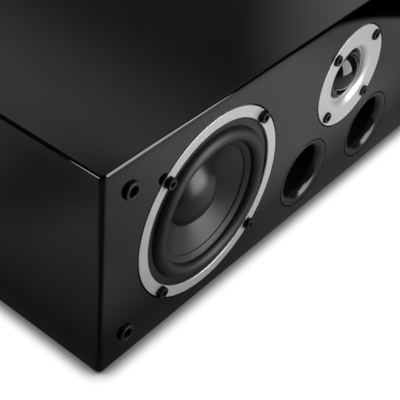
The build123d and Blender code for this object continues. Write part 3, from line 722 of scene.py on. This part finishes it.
for side, axis in woofers.items():
    spot = onFront([(axis, middleZ)])
    moving = f"woofer_{side}_moving"
    fitted(turnedPiece(f"trim_ring_{side}", ringOutline(), spot, finishes["satin_aluminium"], segments=256),
           "cabinet", "satin_aluminium", f"woofer_{side}_trim_ring")
    fitted(turnedPiece(f"cone_{side}", coneOutline(), spot, finishes["cone_plastic"], segments=192),
           moving, "cone_plastic", f"woofer_{side}_cone")
    fitted(turnedPiece(f"dust_cap_{side}", capOutline(), spot, finishes["cone_plastic"], segments=128,
                       flatFaces=False), moving, "cone_plastic", f"woofer_{side}_dust_cap")
    roll = turnedPiece(f"surround_{side}", surroundOutline(), spot, finishes["black_rubber"], segments=192,
                       flatFaces=False)
    flexing(roll, side, surroundShape["rollInner"], surroundShape["rollOuter"])
    fitted(roll, None, "black_rubber", f"woofer_{side}_surround")
    spider = turnedPiece(f"spider_{side}", spiderOutline(), spot, finishes["woven_spider"], segments=96,
                         flatFaces=False)
    flexing(spider, side, spiderShape["neck"], spiderShape["neckEnd"])
    fitted(spider, None, "woven_spider", f"woofer_{side}_spider")
print("woofers done")


# cap screws, knurled, each turned by chance

screwShape = {"head": 4.25, "height": 4.0, "chamfer": 0.35, "socket": 4.0, "socketDepth": 2.4, "shank": 2.0,
              "length": 18.0, "knurls": 36, "knurl": 0.22, "wooferCircle": 67.9, "tweeterCircle": 35.75,
              "wooferSeat": 0.3, "tweeterSeat": -1.7, "recess": 4.5}


def screwOutline():
    s = screwShape
    corner = s["socket"] / 2 / math.cos(math.pi / 6)
    top, floor, rim = s["height"], s["height"] - s["socketDepth"], s["head"] - s["chamfer"]
    return [
        (0, floor - 0.5), (corner, floor, 0, 1), (corner, floor + 0.03, 0, 1), (corner, top - 0.2, 0, 1),
        (corner + 0.06, top - 0.06, 0, 1), (corner + 0.2, top, 0, 0.9), (rim - 0.12, top),
        (rim + 0.03, top - 0.04),
        (s["head"] - 0.04, top - s["chamfer"] - 0.03, 0.2), (s["head"], top - s["chamfer"] - 0.2, 1),
        (s["head"], 0.55, 1), (s["head"], 0.35, 0), (s["head"], 0.12), (s["head"] - 0.12, 0), (s["shank"], 0),
        (s["shank"], 1 - s["length"]), (s["shank"] - 0.8, -s["length"]), (0, -s["length"]),
    ]


def screwSpots(centre, circle):
    turns = [math.radians(45 + 90 * i) for i in range(4)]
    return [(centre[0] + circle * math.cos(turn), centre[1] + circle * math.sin(turn)) for turn in turns]


# tweeter: flat plate, shallow horn with two steps, coated dome

plateShape = {"outer": 41.0, "proud": 0.3, "back": -4.2, "edge": 0.4, "boss": 30.5, "horn": 28.0, "lip": 21.9,
              "lipHeight": -3.1, "step": 0.7, "throat": 20.5, "base": -4.8}
domeShape = {"radius": 15.0, "height": 7.5, "wall": 0.4, "roll": 5.1, "rollHeight": 1.4, "flange": 26.0}


def plateOutline():
    p = plateShape
    reach, drop = p["horn"] - p["lip"], p["proud"] - p["lipHeight"]
    curve = (reach**2 + drop**2) / (2 * drop)
    sweep = math.asin(reach / curve)
    horn = [(p["horn"] - curve * math.sin(sweep * i / 32), p["proud"] - curve * (1 - math.cos(sweep * i / 32)))
            for i in range(33)]
    step, lip, low = p["step"], p["lip"], p["lipHeight"]
    stairs = rounded([
        (lip + 0.01, low, 0), (lip, low - step, 0.1), (lip - step, low - step, 0.2),
        (lip - step, low - 2 * step, 0.1),
        (p["throat"], low - 2 * step, 0.2), (p["throat"], p["base"]), (p["boss"], p["base"]),
        (p["boss"], p["back"]),
        (p["outer"], p["back"]), (p["outer"], p["proud"], p["edge"]),
    ])[:-1]
    return horn + stairs[1:] + horn[:1]


def domeOutline():
    d, base = domeShape, plateShape["base"]
    wall, low = d["wall"], plateShape["base"] - d["wall"]
    rollEnd, crest = d["radius"] + d["roll"], d["radius"] + d["roll"] / 2
    outside = crown(d["radius"], base, d["height"], 28)[::-1]
    outside += arc((d["radius"], base), (crest, base + d["rollHeight"]), (rollEnd, base), 12)[1:]
    inside = arc((rollEnd - wall, low), (crest, low + d["rollHeight"]), (d["radius"] + wall, low), 10)
    inside += crown(d["radius"] - wall, low, d["height"], 20)
    return outside + [(d["flange"], base), (d["flange"], low)] + inside + outside[:1]


def recessed(plate):
    # sinks the screws' heads into the plate
    s = screwShape
    places = onFront(screwSpots(tweeterPlace, s["tweeterCircle"]), s["tweeterSeat"])
    well = [(0, 0), (s["recess"], 0), (s["recess"], 5), (0, 5)]
    wells = turnedPiece("wells", well, places, finishes["satin_aluminium"], segments=96, flatFaces=False)
    cut = plate.modifiers.new("wells", "BOOLEAN")
    cut.operation, cut.solver, cut.object = "DIFFERENCE", "EXACT", wells
    settled(plate)
    bpy.data.objects.remove(wells)
    local = np.empty(len(plate.data.vertices) * 3, np.float32)
    plate.data.vertices.foreach_get("co", local)
    local = local.reshape(-1, 3)[:, [0, 2, 1]] - np.array((tweeterPlace[0], tweeterPlace[1], frontY),
                                                          np.float32) * mm
    plate.data.attributes["localAt"].data.foreach_set("vector", local.astype(np.float32).ravel())
    return smoothed(plate)


spot = onFront([tweeterPlace])
plate = turnedPiece("tweeter_plate", plateOutline(), spot, finishes["satin_aluminium"], segments=224,
                    flatFaces=False)
fitted(recessed(plate), "cabinet", "satin_aluminium", "tweeter_faceplate")
fitted(turnedPiece("tweeter_coated_dome", domeOutline(), spot, finishes["dome_film"], segments=128,
                   flatFaces=False),
       "cabinet", "dome_film", "tweeter_dome")
print("tweeter done")


# every driver takes the same screws

screwPlaces = onFront(screwSpots(tweeterPlace, screwShape["tweeterCircle"]), screwShape["tweeterSeat"])
for axis in woofers.values():
    screwPlaces += onFront(screwSpots((axis, middleZ), screwShape["wooferCircle"]), screwShape["wooferSeat"])
fitted(turnedPiece("cap_screws", screwOutline(), screwPlaces, finishes["black_steel"],
                   segments=screwShape["knurls"] * 6, flutes=screwShape["knurls"],
                   fluteRadius=screwShape["knurl"],
                   spin=math.pi / 3), "cabinet", "black_steel", "driver_screws")
print("screws done:", len(screwPlaces))


# reflex ports and grille sockets

portShape = {"bore": 21.0, "flare": 7.2, "rim": 28.5, "flange": 3.0, "wall": 2.3, "length": 110.0}
socketShape = {"flange": 6.5, "proud": 2.4, "round": 0.7, "body": 5.5, "bore": 4.0, "boreDepth": 10.0,
               "floor": 2.0}


def portOutline():
    p = portShape
    flare = [(p["bore"] + p["flare"] * (1 - math.sin(math.pi / 2 * i / 20)),
              -p["flare"] * (1 - math.cos(math.pi / 2 * i / 20))) for i in range(21)]
    outer = p["bore"] + p["wall"]
    return flare + [(p["bore"], -p["length"]), (outer, -p["length"]), (outer, -p["flange"]),
                    (p["rim"], -p["flange"]),
                    (p["rim"], -0.12), (p["rim"] - 0.1, 0)] + flare[:1]


def socketOutline():
    s = socketShape
    floor = s["proud"] - s["boreDepth"]
    skin = rounded([
        (0, floor - s["floor"]), (s["body"], floor - s["floor"], 0.5), (s["body"], 0), (s["flange"], 0, 0.15),
        (s["flange"], s["proud"], s["round"]), (s["bore"], s["proud"], 0.45), (s["bore"], floor, 0.4),
        (0, floor),
    ])
    return skin[:-1]


for side, place in zip(("left", "right"), portPlaces):
    fitted(turnedPiece(f"reflex_port_{side}", portOutline(), onFront([place]), finishes["black_plastic"],
                       segments=160), "cabinet", "black_plastic", f"port_{side}")
fitted(turnedPiece("peg_sockets", socketOutline(), onFront(socketPlaces), finishes["black_rubber"],
                   segments=72),
       "cabinet", "black_rubber", "grille_sockets")
print("ports and sockets done")


# terminal cup with its bosses, washers and fluted thumb nuts

cupShape = {"flange": (52.0, 42.0, 10.0), "recess": (42.0, 32.0, 7.5), "body": (44.5, 34.5, 10.0),
            "height": 3.0,
            "floor": -19.0, "back": -21.5, "edge": 0.8, "foot": 1.5, "boss": 8.0, "bossTop": -16.0}
postShape = {"spacing": 36.0, "bore": 3.55, "washer": 6.5, "washerTop": -14.8, "radius": 7.5, "top": -0.8,
             "collar": 2.5, "chamfer": 0.8, "flutes": 16, "flute": 0.9}


def inset(size, by):
    return (size[0] - by, size[1] - by, size[2] - by)


def easedLoops(size, bend, height, outward, steps=5):
    # loops round an edge, from its side to its top, for a flange or for the mouth of a recess
    loops = []
    for step in range(steps + 1):
        turn = math.pi / 2 * step / steps
        shift = bend * (1 - math.cos(turn))
        loops.append((*inset(size, shift if outward else -shift), height - bend * (1 - math.sin(turn))))
    return loops


def cupLoops():
    c = cupShape
    foot = []
    for step in range(6):
        turn = math.pi / 2 * step / 5
        foot.append((*inset(c["recess"], c["foot"] * (1 - math.cos(turn))),
                     c["floor"] + c["foot"] * (1 - math.sin(turn))))
    return ([(*c["body"], c["back"]), (*c["body"], 0.0), (*c["flange"], 0.0)]
            + easedLoops(c["flange"], c["edge"], c["height"], True)
            + easedLoops(c["recess"], c["edge"], c["height"], False)[::-1] + foot)


def bossOutline():
    c = cupShape
    return rounded([(postShape["bore"], c["back"] + 0.5), (c["boss"], c["back"] + 0.5),
                    (c["boss"], c["bossTop"], 0.5),
                    (postShape["bore"], c["bossTop"])])


def washerOutline():
    p = postShape
    return rounded([(p["bore"], cupShape["bossTop"]), (p["washer"], cupShape["bossTop"], 0.15),
                    (p["washer"], p["washerTop"], 0.25), (p["bore"], p["washerTop"], 0.1)], 4)


def nutOutline():
    p = postShape
    foot, top, collar = p["washerTop"], p["top"], p["washerTop"] + p["collar"]
    rim = p["radius"] - p["chamfer"]
    return [
        (p["bore"], foot), (rim, foot), (rim + 0.2, foot + 0.06), (p["radius"] - 0.06, foot + 0.6),
        (p["radius"], foot + 0.85), (p["radius"], collar - 0.1), (p["radius"] - 0.03, collar),
        (p["radius"], collar, 1),
        (p["radius"], top - 0.9, 1), (p["radius"] - 0.12, top - 0.5, 1), (p["radius"] - 0.45, top - 0.12, 0.9),
        (p["radius"] - 0.9, top, 0.6), (p["bore"] + 1.2, top), (p["bore"] + 0.5, top - 0.1),
        (p["bore"], top - 0.6),
        (p["bore"], foot),
    ]


cup = stackedLoops("terminal_tray", cupLoops(), finishes["black_plastic"])
posts = {"black": -postShape["spacing"] / 2, "red": postShape["spacing"] / 2}
bosses = turnedPiece("bosses", bossOutline(), [(x, rearY, middleZ) for x in posts.values()],
                     finishes["black_plastic"], side="rear", segments=64, flatFaces=False)
shape = bmesh.new()
shape.from_mesh(cup.data)
shape.from_mesh(bosses.data)
shape.to_mesh(cup.data)
shape.free()
bpy.data.objects.remove(bosses)
fitted(smoothed(cup), "cabinet", "black_plastic", "terminal_cup")
for colour, x in posts.items():
    spot = [(x, rearY, middleZ)]
    fitted(turnedPiece(f"clamp_washer_{colour}", washerOutline(), spot, finishes["plated_brass"], side="rear",
                       segments=72), f"post_{colour}_clamp", "plated_brass", f"post_{colour}_washer")
    fitted(turnedPiece(f"thumb_nut_{colour}", nutOutline(), spot, finishes[f"{colour}_plastic"], side="rear",
                       segments=postShape["flutes"] * 14, flutes=postShape["flutes"],
                       fluteRadius=postShape["flute"]),
           f"post_{colour}_nut", f"{colour}_plastic", f"post_{colour}_knob")
print("terminals done")


# stage: pale floor, soft lights, camera

# the floor is white to the camera, with a painted contact shadow along the cabinet's foot, and shows what
# mirrors it
# a map of tones with painted shade: darker near the baffle's foot and the left panel's foot, paler away from
# them, a patch beside the left panel, dark past the pale corner and the slant
floorLook = {"size": 12.0, "white": 1.02, "drop": 0.0003, "contact": 0.014, "shadow": 0.13, "bounce": 0.72,
             "paleCorner": (0.19, -0.147), "paleRound": 0.12, "paleBlur": 0.006, "beyond": 0.0,
             "slantFoot": (0.16, -0.27), "slant": 0.78, "slantFrom": (0.128, 0.142),
             "left": -0.30, "right": 0.30, "foot": (-0.271, -0.130), "frontNear": (-0.03, 10.7),
             "frontFar": (0.42, 1.6),
             "frontRange": (0.17, 0.62), "corner": (0.0, 0.014), "cornerTone": 0.2, "side": (0.02, 2.4),
             "sideFade": (0.095, 0.135, 1.0, 0.6), "sideEnd": (0.14, 0.24, 1.0, 0.0),
             "blob": (-0.375, 0.045), "blobReach": (0.01, 0.075), "blobTone": 0.42,
             "mirror": ((0.0, 0.30), (0.085, 0.38), (0.12, 0.56), (0.20, 0.54), (0.30, 0.67), (0.40, 1.0),
                        (0.72, 0.96),
                        (0.83, 0.62), (1.0, 0.62))}


def makeFloor():
    f = floorLook
    half = f["size"] / 2
    mesh = bpy.data.meshes.new("floor")
    mesh.from_pydata([(-half, -half, -f["drop"]), (half, -half, -f["drop"]), (half, half, -f["drop"]),
                      (-half, half, -f["drop"])], [], [(0, 1, 2, 3)])
    floor = addObject("floor", mesh)
    look = Finish("paleFloor")
    x = look.node("ShaderNodeSeparateXYZ", {}, {0: look.place}, "X")
    y = look.node("ShaderNodeSeparateXYZ", {}, {0: look.place}, "Y")
    ray = {label: look.node("ShaderNodeLightPath", {}, {}, label)
           for label in ("Is Camera Ray", "Is Glossy Ray", "Is Transmission Ray")}
    # painted contact shadow: the camera's white darkens where the cabinet crowds the floor
    free = look.node("ShaderNodeAmbientOcclusion", {"samples": 12}, {"Distance": f["contact"]}, "AO")
    contact = free.smooth(0.5, 1.0, f["shadow"], 1.0)
    # painted shade for mirrored rays only: tones fall near the cabinet's feet and corner, with a darker spot
    # beside the left panel
    along = (x - f["left"]) / (f["right"] - f["left"])
    tone = look.node("ShaderNodeValToRGB", {"stops": f["mirror"]}, {0: along})
    across = look.node("ShaderNodeRGBToBW", {}, {0: tone})
    ahead = (f["foot"][1] - y).atLeast(0.0)
    beside = (f["foot"][0] - x).atLeast(0.0)
    near, far = f["frontNear"], f["frontFar"]
    front = (near[0] + near[1] * ahead).atMost(far[0] + far[1] * ahead).atLeast(f["frontRange"][0])
    front = across * front.atMost(f["frontRange"][1]) * beside.smooth(*f["corner"], 1.0, f["cornerTone"])
    blobX, blobY = x - f["blob"][0], y - f["blob"][1]
    blob = ((blobX * blobX + blobY * blobY) ** 0.5).smooth(*f["blobReach"], f["blobTone"], 1.0)
    side = (f["side"][0] + f["side"][1] * beside) * beside.smooth(*f["sideFade"])
    side = side * beside.smooth(*f["sideEnd"]) * blob
    level = front + side * ahead.smooth(*f["corner"], 1.0, f["cornerTone"])
    overX = (x - f["paleCorner"][0]).atLeast(0.0)
    overY = (f["paleCorner"][1] - y).atLeast(0.0)
    past = (overX * overX + overY * overY) ** 0.5
    pale = past.smooth(f["paleRound"] - f["paleBlur"], f["paleRound"] + f["paleBlur"], 1.0, f["beyond"])
    slant = x - f["slantFoot"][0] - f["slant"] * (f["slantFoot"][1] - y)
    ahead = ahead.smooth(*f["slantFrom"]) * slant.smooth(-f["paleBlur"], f["paleBlur"], 1.0, 0.0)
    pale = pale.atLeast(ahead)
    mirrored = ray["Is Glossy Ray"] + ray["Is Transmission Ray"]
    # the camera sees white with the painted contact shadow, mirrors see the painted shade map
    shown = ray["Is Camera Ray"] * f["white"] * contact + mirrored * level * pale
    glow = look.node("ShaderNodeEmission", {}, {"Strength": shown})
    matte = look.node("ShaderNodeBsdfDiffuse", {}, {"Color": (f["bounce"],) * 3 + (1,)})
    seen = (ray["Is Camera Ray"] + mirrored).atMost(1.0)
    mesh.materials.append(look.close(look.node("ShaderNodeMixShader", {}, {0: seen, 1: matte, 2: glow})))


# a large reflector on the right: a pale patch low down, darker behind it, a dim sky above; edges are (from, to)
sideCard = {"x": 2.2, "low": (-1.3, 0.25), "high": (3.4, 3.6), "patch": 0.68, "patchFront": (-0.45, 0.15),
            "patchBack": (0.95, 1.5), "patchTop": (1.75, 2.3), "sky": 0.38, "skyFoot": (1.95, 2.75),
            "skyFront": (-1.2, 0.3), "rest": 0.10, "dim": 0.8, "dimFoot": (2.65, 3.05), "dimBack": (1.9, 2.7)}


def makeSideCard():
    c = sideCard
    mesh = bpy.data.meshes.new("side_card")
    mesh.from_pydata([(c["x"], c["low"][0], c["low"][1]), (c["x"], c["high"][0], c["low"][1]),
                      (c["x"], c["high"][0], c["high"][1]), (c["x"], c["low"][0], c["high"][1])], [],
                      [(3, 2, 1, 0)])
    card = addObject("side_card", mesh)
    look = Finish("sideCardGlow")
    y = look.node("ShaderNodeSeparateXYZ", {}, {0: look.place}, "Y")
    z = look.node("ShaderNodeSeparateXYZ", {}, {0: look.place}, "Z")
    patch = y.smooth(*c["patchFront"]) * y.smooth(*c["patchBack"], 1.0, 0.0)
    patch = patch * z.smooth(*c["patchTop"], 1.0, 0.0)
    sky = z.smooth(*c["skyFoot"]) * y.smooth(*c["skyFront"])
    dim = 1 - c["dim"] * z.smooth(*c["dimFoot"]) * y.smooth(*c["dimBack"], 1.0, 0.0)
    level = (c["patch"] * patch + c["sky"] * sky + c["rest"] * y.smooth(*c["patchFront"])) * dim
    mesh.materials.append(look.close(look.node("ShaderNodeEmission", {}, {"Strength": level})))
    card.visible_camera = False


# the large lamps leave the lacquer alone, which would mirror them as white panes from behind
def reach(lamp, state):
    group = bpy.data.collections.new(lamp.name + "Reach")
    group.objects.link(bpy.data.objects["cabinet_shell"])
    group.collection_objects[0].light_linking.link_state = state
    lamp.light_linking.receiver_collection = group


# thin strips close to the top edges, mirrored in the rounding alone:
# glow, then y, z, left and right end of each bend
edgeStrips = {
    "front_strip": (7.0, (-0.129, 0.1735, -0.264, -0.224), (-0.1335, 0.1735, -0.264, -0.170),
                    (-0.1335, 0.169, -0.264, -0.147)),
    "rear_strip": (1.3, (0.129, 0.1735, -0.266, 0.266), (0.1335, 0.1735, -0.266, 0.266),
                   (0.1335, 0.169, -0.266, 0.266)),
}


def makeEdgeStrips():
    for name, (glow, *bends) in edgeStrips.items():
        mesh = bpy.data.meshes.new(name)
        corners = [(x, y, z) for y, z, left, right in bends for x in (left, right)]
        mesh.from_pydata(corners, [], [(0, 1, 3, 2), (2, 3, 5, 4)])
        strip = addObject(name, mesh)
        look = Finish(name + "Glow")
        mesh.materials.append(look.close(look.node("ShaderNodeEmission", {}, {"Strength": glow})))
        strip.visible_camera = False
        strip.visible_diffuse = False
        strip.visible_shadow = False
        reach(strip, "INCLUDE")


# place, aim, width, height, radiance
softboxes = {
    "frontBox": ((0.225, -0.85, 0.43), (0.225, 0.0, 0.43), 0.67, 0.86, 6.0),
    "leftBox": ((-1.44, 0.255, 0.42), (-0.27, -0.10, 0.17), 0.74, 0.65, 7.0),
    "backBox": ((0.144, 1.656, 0.751), (0.0, 0.0, 0.085), 0.9, 0.6, 4.0),
}


def makeSoftboxes():
    for name, (place, aim, width, height, radiance) in softboxes.items():
        lamp = bpy.data.lights.new(name, "AREA")
        lamp.shape, lamp.size, lamp.size_y = "RECTANGLE", width, height
        lamp.energy = radiance * math.pi * width * height
        box = bpy.data.objects.new(name, lamp)
        bpy.context.scene.collection.objects.link(box)
        box.location = place
        box.rotation_euler = (Vector(aim) - box.location).to_track_quat("-Z", "Y").to_euler()
        reach(box, "INCLUDE" if name == "leftBox" else "EXCLUDE")


def makeWorld(level):
    world = bpy.data.worlds.new("studio")
    world.use_nodes = True
    world.node_tree.nodes.clear()
    make = Maker(world.node_tree)
    camera = make.node("ShaderNodeLightPath", {}, {}, "Is Camera Ray")
    back = make.node("ShaderNodeBackground", {}, {"Strength": camera * (1 - level) + level})
    out = world.node_tree.nodes.new("ShaderNodeOutputWorld")
    world.node_tree.links.new(back.socket, out.inputs["Surface"])
    bpy.context.scene.world = world


cameraView = {"spot": (-585.4, -420.7, 528.7), "right": (0.66317, -0.74725, 0.04257),
              "up": (0.47788, 0.46651, 0.74431),
              "lens": 90.67, "shift": (0.1354, 0.0343)}


def makeCamera():
    c = cameraView
    lens = bpy.data.cameras.new("photoView")
    lens.sensor_width, lens.lens = 36.0, c["lens"]
    lens.shift_x, lens.shift_y = c["shift"]
    lens.clip_start, lens.clip_end = 0.01, 50.0
    camera = bpy.data.objects.new("photoView", lens)
    bpy.context.scene.collection.objects.link(camera)
    right = Vector(c["right"]).normalized()
    back = right.cross(Vector(c["up"])).normalized()
    up = back.cross(right)
    turn = Matrix((right, up, back)).transposed().to_4x4()
    camera.matrix_world = Matrix.Translation(Vector(c["spot"]) * mm) @ turn
    bpy.context.scene.camera = camera


makeFloor()
makeSideCard()
makeEdgeStrips()
makeSoftboxes()
makeWorld(0.04)
makeCamera()
print("stage done")
